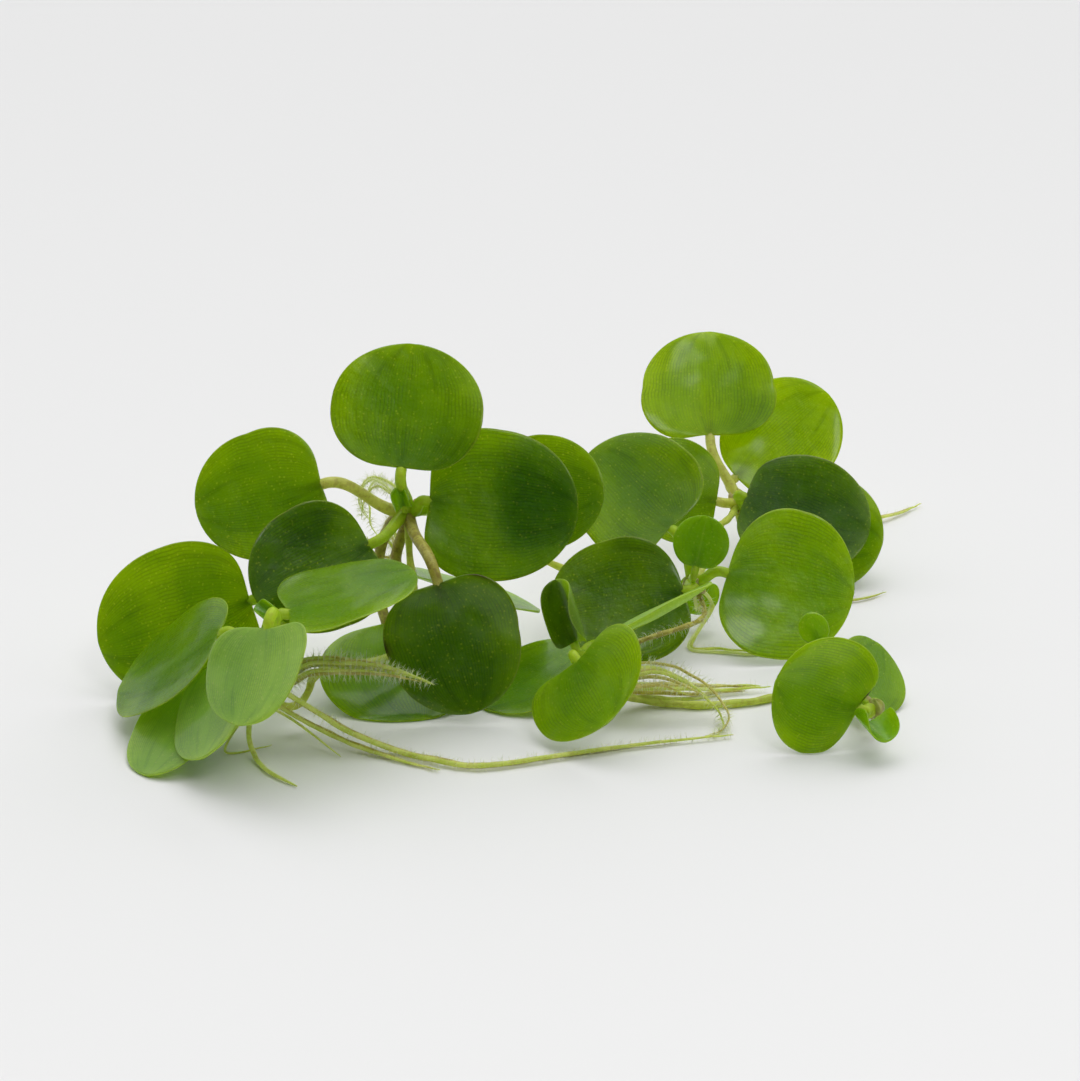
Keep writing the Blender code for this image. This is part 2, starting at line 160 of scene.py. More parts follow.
GROWN_LEAF = leaf_tissue("grown_leaf", (0.13, 0.30, 0.002, 1), (0.045, 0.16, 0.001, 1), (0.02, 0.075, 0.001, 1),
                         (0.50, 0.56, 0.03, 1), (0.60, 0.75, 0.004, 1), (0.36, 0.53, 0.003, 1), 0.68, 0.28, 0.0)
# Darker copy of the leaf tissue for leaves lying in the shade of the leaves around them: painted shade.
SHADED_LEAF = leaf_tissue("shaded_leaf", (0.08, 0.21, 0.002, 1), (0.025, 0.10, 0.001, 1), (0.012, 0.05, 0.001, 1),
                       (0.42, 0.48, 0.03, 1), (0.46, 0.60, 0.004, 1), (0.27, 0.41, 0.003, 1), 0.64, 0.28, 0.0)
FRESH_LEAF = leaf_tissue("fresh_leaf", (0.26, 0.50, 0.006, 1), (0.13, 0.34, 0.003, 1), (0.05, 0.17, 0.002, 1),
                         (0.55, 0.64, 0.06, 1), (0.70, 0.85, 0.01, 1), (0.52, 0.70, 0.005, 1), 0.66, 0.28, 0.0)
# Paler grey-green copy for leaves turned up to the bright room: partly their own lighter tissue, partly painted sheen
# and top light.
PALE_AND_SHEEN_LEAF = leaf_tissue("pale_and_sheen_leaf", (0.46, 0.72, 0.12, 1), (0.30, 0.58, 0.07, 1), (0.12, 0.32, 0.03, 1),
                         (0.66, 0.78, 0.20, 1), (0.76, 0.92, 0.04, 1), (0.62, 0.82, 0.02, 1), 0.60, 0.34, 0.0)
BRIGHT_LEAF = leaf_tissue("bright_leaf", (0.22, 0.41, 0.001, 1), (0.15, 0.31, 0.001, 1), (0.07, 0.18, 0.001, 1),
                          (0.55, 0.62, 0.03, 1), (0.77, 0.90, 0.004, 1), (0.61, 0.77, 0.004, 1), 0.74, 0.3, 0.0)
YOUNG_LEAF = leaf_tissue("young_leaf", (0.20, 0.46, 0.008, 1), (0.11, 0.34, 0.004, 1), (0.06, 0.22, 0.002, 1),
                         (0.50, 0.64, 0.10, 1), (0.66, 0.86, 0.01, 1), (0.54, 0.76, 0.01, 1), 0.64, 0.28, 0.4)
UNDERSIDE = leaf_tissue("leaf_underside", (0.30, 0.46, 0.08, 1), (0.20, 0.36, 0.05, 1), (0.10, 0.24, 0.03, 1),
                        (0.48, 0.55, 0.15, 1), (0.68, 0.84, 0.004, 1), (0.52, 0.72, 0.004, 1), 0.68, 0.42, 0.0)


# Leaf blades: nearly round, half a millimetre thick, thinner to the margin, notched where the stalk enters.
# Each row: midrib start, midrib end, the way the upper side faces, width, how far the lobes reach back,
# which lobe reaches further, how much broader the base end is, cup, roll radius if rolled up, tissue.
MM = 0.001
BLADE_COLUMNS = 30
BLADE_ROWS = 34
BLADE_THICKNESS = 0.5
NOTCH_WIDTH = 0.3
NOTCH_SPREAD = 0.1
BLADES = {
    "a1": ((-48.5, -38.2, 16.3), (-65.0, -30.2, 4.1), (-0.56, -0.25, 0.78), 20.5, 2.2, 0.3, 0.0, 0.8, 0.0, FRESH_LEAF),
    "a2": ((-51.0, -36.8, 7.9), (-57.5, -51.7, 0.5), (-0.45, -0.54, 0.67), 16.0, 2.4, 0.0, 0.0, 0.8, 0.0, PALE_AND_SHEEN_LEAF),
    "a3": ((-46.9, -42.6, 14.2), (-49.0, -55.8, 5.2), (-0.67, -0.44, 0.5), 18.2, 2.0, 0.0, 0.0, 0.8, 0.0, PALE_AND_SHEEN_LEAF),
    "a4": ((-40.0, -51.5, 22.7), (-43.3, -58.9, 11.6), (-0.58, -0.43, 0.66), 20.2, 4.0, -0.4, 0.0, 0.8, 0.0, PALE_AND_SHEEN_LEAF),
    "a5": ((-38.4, -38.7, 20.1), (-20.3, -33.7, 24.0), (-0.18, -0.1, 0.98), 20.0, 3.5, 0.0, 0.2, 0.8, 0.0, FRESH_LEAF),
    "a6": ((-40.3, -34.7, 16.9), (-43.7, -32.2, 18.6), (-0.3, -0.6, 0.7), 4.2, 0.6, 0.0, 0.0, 0.0, 1.1, YOUNG_LEAF),
    "a7": ((-46.5, -19.2, 13.8), (-69.0, -23.2, 7.7), (0.0, -0.93, 0.36), 23.7, 2.5, 0.0, 0.1, 0.8, 0.0, GROWN_LEAF),
    "b1": ((-23.3, -15.2, 33.8), (-21.6, -5.2, 50.3), (0.0, -0.8, 0.6), 23.3, 1.2, 0.2, 0.06, 0.8, 0.0, GROWN_LEAF),
    "b2": ((-35.5, -15.2, 31.2), (-54.2, -17.7, 27.8), (0.0, -0.9, 0.43), 19.6, 1.2, -0.4, 0.3, 0.8, 0.0, GROWN_LEAF),
    "b3": ((-28.1, -19.7, 23.1), (-44.7, -27.7, 17.8), (0.0, -0.93, 0.36), 19.5, 1.4, -0.5, 0.2, 0.8, 0.0, SHADED_LEAF),
    "b4": ((-19.2, -13.2, 27.8), (3.4, -14.2, 26.4), (0.0, -0.89, 0.46), 23.4, 2.8, 0.1, 0.14, 0.8, 0.0, GROWN_LEAF),
    "b5": ((-17.4, -28.7, 20.3), (-12.2, -33.5, 1.7), (0.0, -0.97, 0.25), 19.6, 0.9, -0.4, 0.3, 0.8, 0.0, SHADED_LEAF),
    "b6": ((-8.9, -9.8, 28.0), (7.4, -11.8, 28.6), (0.0, -0.89, 0.46), 17.8, 1.5, 0.0, 0.1, 0.8, 0.0, GROWN_LEAF),
    "b7": ((-22.8, -9.2, 14.8), (-2.4, -11.6, 9.0), (0.31, 0.24, 0.92), 17.0, 1.5, 0.0, 0.0, 0.8, 0.0, PALE_AND_SHEEN_LEAF),
    "b8": ((-26.0, -15.7, 8.5), (-19.9, -32.7, -0.2), (0.0, -0.35, 0.94), 25.6, 2.0, 0.0, 0.0, 0.8, 0.0, FRESH_LEAF),
    "b9": ((-23.2, -14.7, 27.5), (-24.1, -15.7, 30.7), (0.0, -0.9, 0.4), 5.0, 0.6, 0.0, 0.0, 0.0, 1.2, YOUNG_LEAF),
    "c1": ((18.5, 0.8, 18.4), (6.2, 10.3, 28.4), (0.0, -0.8, 0.6), 21.2, 2.3, -0.3, 0.2, 0.8, 0.0, GROWN_LEAF),
    "c2": ((22.1, -7.2, 14.8), (23.8, -4.2, 22.1), (0.0, -0.85, 0.53), 8.9, 0.6, 0.0, 0.0, 0.4, 0.0, YOUNG_LEAF),
    "c3": ((27.3, -5.7, 13.1), (46.9, -7.7, 9.5), (0.0, -0.88, 0.47), 24.0, 1.0, 0.8, 0.16, 0.8, 0.0, FRESH_LEAF),
    "c4": ((20.1, -8.2, 11.0), (-0.8, -10.7, 8.1), (0.0, -0.87, 0.5), 20.0, 0.9, -0.8, 0.2, 0.8, 0.0, SHADED_LEAF),
    "c5": ((24.3, 3.8, 7.8), (21.7, 3.3, 2.7), (0.0, -0.9, 0.4), 7.0, 1.5, 0.0, 0.0, 0.8, 0.0, YOUNG_LEAF),
    "d1": ((2.7, -26.7, 10.2), (-0.2, -24.7, 19.4), (0.1, -0.92, 0.39), 10.0, 1.2, 0.0, 0.0, 0.0, 3.6, SHADED_LEAF),
    "d2": ((2.9, -38.2, 12.0), (7.4, -47.2, 6.8), (-0.67, -0.47, 0.58), 21.0, 3.4, 0.0, 0.0, 0.8, 0.0, FRESH_LEAF),
    "d3": ((7.5, -30.2, 12.3), (23.2, -25.2, 19.1), (-0.43, 0.29, 0.78), 7.5, 1.0, 0.0, 0.0, 1.2, 0.0, PALE_AND_SHEEN_LEAF),
    "d4": ((4.2, -16.7, 4.6), (-11.1, -28.7, 0.3), (-0.1, -0.1, 0.98), 18.0, 1.5, 0.0, 0.0, 0.8, 0.0, FRESH_LEAF),
    "e1": ((27.2, 36.8, 22.3), (26.8, 47.3, 37.9), (0.0, -0.76, 0.65), 23.1, 1.4, -0.3, 0.28, 0.8, 0.0, BRIGHT_LEAF),
    "e2": ((32.3, 40.2, 13.4), (48.9, 46.6, 26.6), (0.0, -0.87, 0.5), 20.6, 0.8, 0.0, 0.0, 0.8, 0.0, BRIGHT_LEAF),
    "e3": ((32.7, 25.3, 14.9), (52.8, 18.8, 10.0), (0.0, -0.8, 0.6), 21.5, 2.0, 0.0, 0.0, 0.8, 0.0, SHADED_LEAF),
    "e4": ((27.6, 25.8, 14.0), (12.8, 15.3, 21.7), (0.0, -0.9, 0.43), 17.8, 1.5, 0.0, 0.0, 0.8, 0.0, GROWN_LEAF),
    "e5": ((35.3, 31.2, 8.2), (56.0, 23.3, 6.7), (0.0, -0.8, 0.6), 22.8, 1.5, 0.0, 0.0, 0.8, 0.0, GROWN_LEAF),
    "f1": ((43.3, -41.2, 6.0), (31.6, -41.2, 10.8), (0.0, -0.95, 0.3), 17.8, 1.6, 0.8, 0.1, 0.8, 0.0, FRESH_LEAF),
    "f2": ((45.8, -32.2, 2.7), (49.0, -22.2, 8.0), (0.63, -0.2, 0.74), 13.0, 1.0, 0.0, 0.0, 0.8, 0.0, FRESH_LEAF),
    "f3": ((44.7, -42.2, 4.3), (46.4, -47.7, 3.8), (0.2, -0.1, 0.95), 9.5, 1.0, 0.0, 0.0, 0.0, 2.5, YOUNG_LEAF),
    "f4": ((38.5, -31.7, 12.6), (36.9, -31.2, 16.7), (-0.3, -0.8, 0.5), 4.5, 0.5, 0.0, 0.0, 0.6, 0.0, YOUNG_LEAF),
}


CURLED_SIDE = {BLADES["d1"][:1]: 0.45}
SCORCHED = {"b5": [(1, 0.43, 0.04), (-1, 0.2, 0.06), (-1, 0.96, 0.02)], "f1": [(1, 0.08, 0.05)]}


def blade_directions(row):
    base, tip, face = (Vector(value) for value in row[:3])
    forward = (tip - base).normalized()
    across = forward.cross(face).normalized()
    return base, across, forward, across.cross(forward), (tip - base).length


def blade_spot(row, s, t):
    """One point of a blade's middle layer: s runs across it from -1 to 1, t from its base to its tip."""
    base, across, forward, upper, length = blade_directions(row)
    width, lobe, skew, shoulder, cup, roll = row[3:9]
    turn = math.pi * t
    side = math.copysign(1, s)
    back = lobe * (1 + skew * side)
    fuller = 1 + shoulder * math.sin(turn) ** 2 * max(0.0, math.cos(turn))
    notch = back * math.exp(-(turn / (NOTCH_WIDTH + NOTCH_SPREAD * lobe)) ** 2)
    margin_x = width / 2 * math.sin(turn) * side * fuller
    margin_y = (length - back) / 2 - (length + back) / 2 * math.cos(turn) * fuller + notch
    rib_y = length * (1 - math.cos(turn)) / 2
    x = abs(s) * margin_x
    y = rib_y + abs(s) * (margin_y - rib_y)
    z = cup * ((x * 2 / width) ** 2 + 0.5 * (y * 2 / length - 1) ** 2 - 0.5)
    if roll:
        bend = roll * CURLED_SIDE.get(row[:1], 1.0) if s > 0 else roll
        angle = x / bend
        x = bend * math.sin(angle)
        z = bend * (1 - math.cos(angle))
    return base + across * x + forward * y + upper * z, upper


for key, row in BLADES.items():
    width, roll, tissue = row[3], row[8], row[9]
    chance = random.Random(key)
    phases = [chance.uniform(0, math.tau) for _ in range(4)]
    shift = Vector((chance.uniform(0, 90), chance.uniform(0, 90), chance.uniform(0, 90)))
    bpy.ops.object.select_all(action="DESELECT")
    bpy.ops.mesh.primitive_grid_add(x_subdivisions=BLADE_COLUMNS, y_subdivisions=BLADE_ROWS, size=2.0)
    blade = bpy.context.object
    blade.name = f"blade_{key}"
    flesh = blade.vertex_groups.new(name="flesh")
    scorch = []
    for point in blade.data.vertices:
        s = point.co.x
        t = (point.co.y + 1) / 2
        spot, upper = blade_spot(row, s, t)
        turn = math.pi * t
        ripple = 0.016 * width * abs(s) ** 3 * math.sin(turn) * math.sin(3.5 * turn + phases[2] + 1.5 * s)
        dimple = 0.1 * noise.noise(spot * 0.28 + shift) * (0.0 if roll else 1.0)
        spot += upper * (ripple + dimple)
        spot.z = max(spot.z, 0.26)
        flesh.add([point.index], 1 - 0.6 * abs(s) ** 5, "REPLACE")
        scorch.append(max((math.exp(-((t - middle) / spread) ** 2) * max(0.0, s * side * 10 - 9)
                           for side, middle, spread in SCORCHED.get(key, [])), default=0.0))
        point.co = spot * MM
    if key in SCORCHED:
        blade.data.attributes.new("scorch", "FLOAT", "POINT").data.foreach_set("value", scorch)
    bpy.ops.object.mode_set(mode="EDIT")
    bpy.ops.mesh.select_all(action="SELECT")
    bpy.ops.mesh.remove_doubles(threshold=0.00001)
    bpy.ops.object.mode_set(mode="OBJECT")
    thicken = blade.modifiers.new("thickness", "SOLIDIFY")
    thicken.thickness = BLADE_THICKNESS * MM * (0.7 if roll else 1.0)
    thicken.offset = 0.0
    thicken.vertex_group = "flesh"
    bpy.ops.object.modifier_apply(modifier="thickness")
    blade.data.materials.append(tissue)
    blade.data.materials.append(UNDERSIDE)
    folds = blade.data.uv_layers.active.data
    for face in blade.data.polygons:
        if roll:
            face.material_index = 1 if row[:1] in CURLED_SIDE and folds[face.loop_start].uv.x > 0.62 else 0
        else:
            face.material_index = 1 if face.normal.dot(upper) < -0.3 else 0
    soften = blade.modifiers.new("soft edge", "SUBSURF")
    soften.levels = 1
    soften.render_levels = 1
    bpy.ops.object.modifier_apply(modifier="soft edge")
    bpy.ops.object.shade_smooth()
    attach(blade, "root")
    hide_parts(f"leaf_{key}")


# Leaf stalks: round spongy green stems, swollen where they leave the crown and tapering to the blade.
# Each runs on under its blade as a thinning midrib. Rows give a stalk's first direction,
# where it bends away from the straight line.
def stem_tissue(name, flesh, shade, spot, through, speckle=0.5):
    material = bpy.data.materials.new(name)
    material.use_nodes = True
    tree = material.node_tree
    place, millimetres = in_millimetres(tree)
    cloud = mottling(tree, millimetres, 0.4, 3.0)
    grain = mottling(tree, millimetres, 4.0)
    streak = mottling(tree, millimetres, 1.2, 1.0)
    mottle = add_node(tree, "TexVoronoi", {"Vector": millimetres, "Scale": 1.6}).outputs["Distance"]
    colour = tint(tree, ramp(tree, cloud, 0.35, 0.65), shade, flesh)
    colour = tint(tree, part_of(tree, ramp(tree, grain, 0.45, 0.7), 0.35), colour, flesh)
    colour = tint(tree, part_of(tree, ramp(tree, streak, 0.5, 0.68), speckle), colour, spot)
    colour = tint(tree, part_of(tree, ramp(tree, mottle, 0.22, 0.1), speckle), colour, spot)
    relief = add_node(tree, "Bump", {"Strength": 0.4, "Distance": 0.00012, "Height": grain})
    shader = tree.nodes["Principled BSDF"]
    tree.links.new(colour, shader.inputs["Base Color"])
    tree.links.new(ramp(tree, grain, 0.3, 0.7, 0.3, 0.5), shader.inputs["Roughness"])
    tree.links.new(relief.outputs["Normal"], shader.inputs["Normal"])
    glowing = add_node(tree, "BsdfTranslucent", {"Color": colour, "Normal": relief.outputs["Normal"]})
    skin = add_node(tree, "MixShader", {0: through, 1: shader.outputs["BSDF"], 2: glowing.outputs["BSDF"]})
    tree.links.new(skin.outputs[0], tree.nodes["Material Output"].inputs["Surface"])
    return material


STALK_GREEN = stem_tissue("stalk_green", (0.62, 0.80, 0.03, 1), (0.46, 0.66, 0.02, 1), (0.44, 0.42, 0.04, 1), 0.5, 0.25)
STALK_OLIVE = stem_tissue("stalk_olive", (0.80, 0.82, 0.22, 1), (0.64, 0.68, 0.13, 1), (0.38, 0.26, 0.07, 1), 0.45, 0.3)
STALK_BROWN = stem_tissue("stalk_brown", (0.60, 0.58, 0.12, 1), (0.42, 0.38, 0.05, 1), (0.20, 0.10, 0.03, 1), 0.35, 0.45)
STALK_TISSUES = {"b2": STALK_OLIVE, "b5": STALK_BROWN, "b7": STALK_BROWN, "b8": STALK_BROWN, "e1": STALK_OLIVE,
                 "e2": STALK_OLIVE, "e4": STALK_OLIVE}
STALK_FOOT = 1.0
STALK_MIDDLE = 0.86
STALK_NECK = 0.84
RIB_END = 0.08
RIB_FADE = 1.6
CROWN_HEARTS = {"a": (-42.1, -39.7, 8.5), "b": (-22.7, -11.2, 25.3), "c": (22.1, -1.2, 9.6),
                "d": (6.5, -32.2, 7.7), "e": (31.9, 30.8, 11.6), "f": (46.2, -38.2, 4.5)}
STALK_LEAVES = {
    "a1": (-0.6, 0.1, 0.8), "a2": (-1, 0.1, 0.1), "a3": (-0.5, -0.6, 0.6), "a4": (0.25, -0.7, 0.6),
    "a5": (0.55, 0.1, 0.83), "a6": (0, 0.8, 0.6), "a7": (-0.6, 0.8, 0), "b1": (0, -0.3, 1),
    "b2": (-1, -0.3, 0.15), "b3": (-0.55, -0.8, -0.2), "b4": (0.75, -0.6, 0.25), "b5": (0.2, -0.85, -0.5),
    "b6": (1, 0.15, 0.1), "b7": (0.05, 0.75, -0.65), "b8": (-0.85, 0.1, -0.5), "b9": (0, -0.7, 0.7),
    "c1": (-0.2, 0.2, 1), "c2": (-0.1, -0.6, 0.8), "c3": (0.65, -0.65, 0.4), "c4": (-0.4, -0.9, 0.2),
    "c5": (0.1, 0.8, -0.6), "d1": (-0.5, 0.4, 0.8), "d2": (-0.9, -0.5, 0.1), "d3": (0.3, 0, 0.95),
    "d4": (-0.5, 0.8, -0.3), "e1": (-0.3, 0.3, 0.9), "e2": (0.5, 0.8, 0.2), "e3": (0.5, -0.8, 0.1),
    "e5": (0.8, 0.6, -0.3), "f2": (0.3, 0.9, 0.2), "f4": (-0.8, 0.1, 0.6),
}


def draw_strands(name, strands, tissues, sides=3):
    """Draws round strands through their points, in millimetres, and makes them one mesh."""
    path = bpy.data.curves.new(name, "CURVE")
    path.dimensions = "3D"
    path.bevel_depth = MM
    path.bevel_resolution = sides
    path.use_fill_caps = True
    for tissue in tissues:
        path.materials.append(tissue)
    for number, (points, radii) in enumerate(strands):
        line = path.splines.new("POLY")
        line.material_index = number % len(tissues)
        line.points.add(len(points) - 1)
        for knot, point, radius in zip(line.points, points, radii):
            knot.co = (point.x * MM, point.y * MM, max(point.z, radius) * MM, 1.0)
            knot.radius = radius
    strand = bpy.data.objects.new(name, path)
    bpy.context.scene.collection.objects.link(strand)
    bpy.ops.object.select_all(action="DESELECT")
    strand.select_set(True)
    bpy.context.view_layer.objects.active = strand
    bpy.ops.object.convert(target="MESH")
    strand = bpy.context.object
    bpy.ops.object.mode_set(mode="EDIT")
    bpy.ops.mesh.select_all(action="SELECT")
    bpy.ops.mesh.remove_doubles(threshold=0.000001)
    bpy.ops.mesh.normals_make_consistent(inside=False)
    bpy.ops.object.mode_set(mode="OBJECT")
    bpy.ops.object.shade_smooth()
    return strand


for key, row in BLADES.items():
    base, across, forward, upper, length = blade_directions(row)
    cup, roll = row[7], row[8]
    heart = Vector(CROWN_HEARTS[key[0]])
    leaving = Vector(STALK_LEAVES.get(key, base - heart)).normalized()
    start = heart + leaving * 0.9
    joint = base - forward * 0.9 - upper * 0.1
    reach = (joint - start).length / 3
    second = start + leaving * (reach + 0.4)
    third = joint - forward * reach - upper * 0.15
    size = min(1.0, 0.35 + length / 22)
    points = []
    radii = []
    for k in range(19):
        t = k / 18
        points.append(start * (1 - t) ** 3 + second * 3 * t * (1 - t) ** 2
                      + third * 3 * t ** 2 * (1 - t) + joint * t ** 3)
        lumpy = 1 + 0.03 * math.sin(9 * t + length)
        radii.append(size * lumpy * (STALK_MIDDLE + (STALK_FOOT - STALK_MIDDLE) * (1 - t) ** 3
                                     + (STALK_NECK - STALK_MIDDLE) * t ** 2))
    steps = 3 if roll else 12
    for k in range(1, steps + 1):
        y = -0.9 + (1.9 if roll else 0.9 + length * 0.4) * k / steps
        thin = size * (RIB_END + (STALK_NECK - RIB_END) * math.exp(-max(0.0, y - 0.1) / RIB_FADE))
        under = cup * (0.5 * (y * 2 / length - 1) ** 2 - 0.5)
        points.append(base + forward * y + upper * (under - 0.2 - 0.35 * thin))
        radii.append(thin)
    stalk = draw_strands(f"stalk_{key}", [(points, radii)], [STALK_TISSUES.get(key, STALK_GREEN)])
    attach(stalk, "root")


# Crowns: the short stem that a rosette's leaves, runners and roots grow from.
# Each is a knuckle of olive tissue wrapped in the swollen feet of the leaf stalks,
# with small papery scales left from the buds.
CROWN_SKIN = stem_tissue("crown_skin", (0.46, 0.50, 0.08, 1), (0.30, 0.38, 0.03, 1), (0.30, 0.18, 0.05, 1), 0.3)
SCALE_SKIN = stem_tissue("bud_scale", (0.82, 0.74, 0.46, 1), (0.68, 0.62, 0.32, 1), (0.45, 0.30, 0.14, 1), 0.5, 0.4)
SCALE_WIDTH = 2.0
SCALE_WAYS = {"a": [(0.7, -0.5, 0.5), (-0.2, 0.7, 0.9)], "b": [(0.75, 0.5, 0.6), (-0.4, 0.5, -0.8), (0.1, -0.6, -0.9)],
              "c": [(0.1, -0.8, 0.4), (0.5, -0.6, -0.3)], "d": [(-0.3, 0.8, 0.5), (0.6, -0.6, 0.3)],
              "e": [(0.2, -0.9, 0.6), (-0.6, -0.3, 0.7)], "f": [(-0.5, 0.6, 0.5)]}
for key, heart in CROWN_HEARTS.items():
    bpy.ops.object.select_all(action="DESELECT")
    bpy.ops.mesh.primitive_uv_sphere_add(segments=32, ring_count=20, radius=1.5 * MM, location=Vector(heart) * MM)
    crown = bpy.context.object
    crown.name = f"knuckle_{key}"
    bpy.ops.object.transform_apply(location=True, rotation=True, scale=True)
    middle = Vector(heart) * MM
    for point in crown.data.vertices:
        out = point.co - middle
        bend = math.atan2(out.y, out.x)
        lumps = 0.12 * math.sin(5 * bend + 900 * out.z) + 0.07 * math.sin(9 * bend)
        point.co = middle + out * (0.95 + lumps)
    bpy.ops.object.shade_smooth()
    crown.data.materials.append(CROWN_SKIN)
    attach(crown, "root")
    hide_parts(f"crown_{key}")
    for number, way in enumerate(SCALE_WAYS[key]):
        outward = Vector(way).normalized()
        sideways = outward.cross(Vector((0.2, 0.1, 1))).normalized()
        back = outward.cross(sideways)
        bpy.ops.object.select_all(action="DESELECT")
        bpy.ops.mesh.primitive_grid_add(x_subdivisions=8, y_subdivisions=10, size=2.0)
        scale = bpy.context.object
        scale.name = f"bud_scale_{key}{number + 1}"
        for point in scale.data.vertices:
            s = point.co.x
            t = (point.co.y + 1) / 2
            broad = SCALE_WIDTH / 2 * (0.55 + 1.1 * t - 1.6 * t ** 3)
            bulge = 0.5 * math.sin(math.pi * t) - 0.7 * s ** 2 + 0.12 * math.sin(7 * s + 9 * t)
            point.co = (Vector(heart) + outward * (0.7 + 2.2 * t) + sideways * s * broad + back * bulge) * MM
        thicken = scale.modifiers.new("thickness", "SOLIDIFY")
        thicken.thickness = 0.12 * MM
        thicken.offset = 0.0
        soften = scale.modifiers.new("soft edge", "SUBSURF")
        soften.levels = 1
        soften.render_levels = 1
        bpy.ops.object.modifier_apply(modifier="thickness")
        bpy.ops.object.modifier_apply(modifier="soft edge")
        bpy.ops.object.shade_smooth()
        scale.data.materials.append(SCALE_SKIN)
        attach(scale, "root")


# Runners: green creeping stems, about a millimetre thick, that join one rosette's crown to the next.
# The one between the two middle rosettes carries fine hairs.
RUNNER_SKIN = stem_tissue("runner_skin", (0.78, 0.84, 0.20, 1), (0.62, 0.72, 0.11, 1), (0.48, 0.38, 0.10, 1), 0.5, 0.3)
RUNNER_RADIUS = 0.58
RUNNERS = {
    "ab": ("a", "b", [(-39.8, -36.7, 4.3), (-37.6, -35.7, 4.3), (-36.3, -34.7, 6.0), (-35.6, -33.7, 7.6),
           (-32.2, -31.7, 8.8), (-26.3, -27.7, 7.7), (-22.3, -23.7, 9.2), (-21.4, -18.7, 13.7),
           (-22.3, -15.2, 19.2)]),
    "bc": ("b", "c", [(-18.2, -1.2, 21.2), (-8.8, 1.8, 15.8), (4.1, 4.8, 8.6), (15.4, 1.8, 6.5)]),
    "cd": ("c", "d", [(23.7, -5.2, 6.9), (22.5, -13.2, 8.2), (19.0, -19.2, 9.3), (12.7, -24.2, 9.3),
           (9.3, -26.7, 8.4)]),
    "ce": ("c", "e", [(24.5, 3.8, 11.3), (26.2, 10.8, 13.9), (29.6, 21.8, 12.3)]),
    "df": ("d", "f", [(8.9, -32.2, 4.5), (14.1, -28.2, 1.2), (21.6, -28.5, 0.7), (29.2, -27.4, 0.7),
           (34.7, -25.6, 0.7), (42.1, -30.5, 1.1)]),
}


def follow(points, step):
    """Reads evenly spaced points from a smooth curve through the given ones."""
    route = [points[0], *points, points[-1]]
    found = []
    for a, b, c, d in zip(route, route[1:], route[2:], route[3:]):
        count = max(2, round((c - b).length / step))
        for k in range(count):
            t = k / count
            found.append(0.5 * ((2 * b) + (c - a) * t + (2 * a - 5 * b + 4 * c - d) * t ** 2
                                + (3 * b - a - 3 * c + d) * t ** 3))
    found.append(points[-1])
    return found


RUNNER_RADII = {"cd": 0.42}
runner_routes = {}
for key, (first, last, bends) in RUNNERS.items():
    points = follow([Vector(CROWN_HEARTS[first]), *[Vector(bend) for bend in bends], Vector(CROWN_HEARTS[last])], 0.8)
    thick = RUNNER_RADII.get(key, RUNNER_RADIUS)
    radii = [thick * (1 + 0.1 * math.sin(k * 0.9)) for k in range(len(points))]
    runner = draw_strands(f"creeper_{key}", [(points, radii)], [STALK_BROWN if key == "cd" else RUNNER_SKIN])
    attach(runner, "root")
    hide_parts(f"runner_{key}")
    runner_routes[key] = (points, radii)


# Roots: bundles of thin pale olive threads that trail from the crowns, covered with fine short hairs.
# Rows: crown, number of threads, their radius, how far they stray from the route at its start, middle
# and end, the bends of the route, the number of hairs, the hairs' length.
ROOT_SKIN = stem_tissue("root_skin", (0.88, 0.94, 0.34, 1), (0.74, 0.84, 0.20, 1), (0.60, 0.46, 0.16, 1), 0.55, 0.25)
ROOT_TAN = stem_tissue("root_tan", (0.84, 0.80, 0.32, 1), (0.68, 0.64, 0.18, 1), (0.44, 0.28, 0.10, 1), 0.5, 0.4)
ROOT_WHITE = stem_tissue("root_white", (0.94, 0.98, 0.62, 1), (0.88, 0.94, 0.46, 1), (0.8, 0.8, 0.4, 1), 0.6, 0.2)
HAIR_SKIN = stem_tissue("root_hair", (0.96, 0.98, 0.84, 1), (0.92, 0.95, 0.72, 1), (0.9, 0.9, 0.6, 1), 0.6, 0.2)
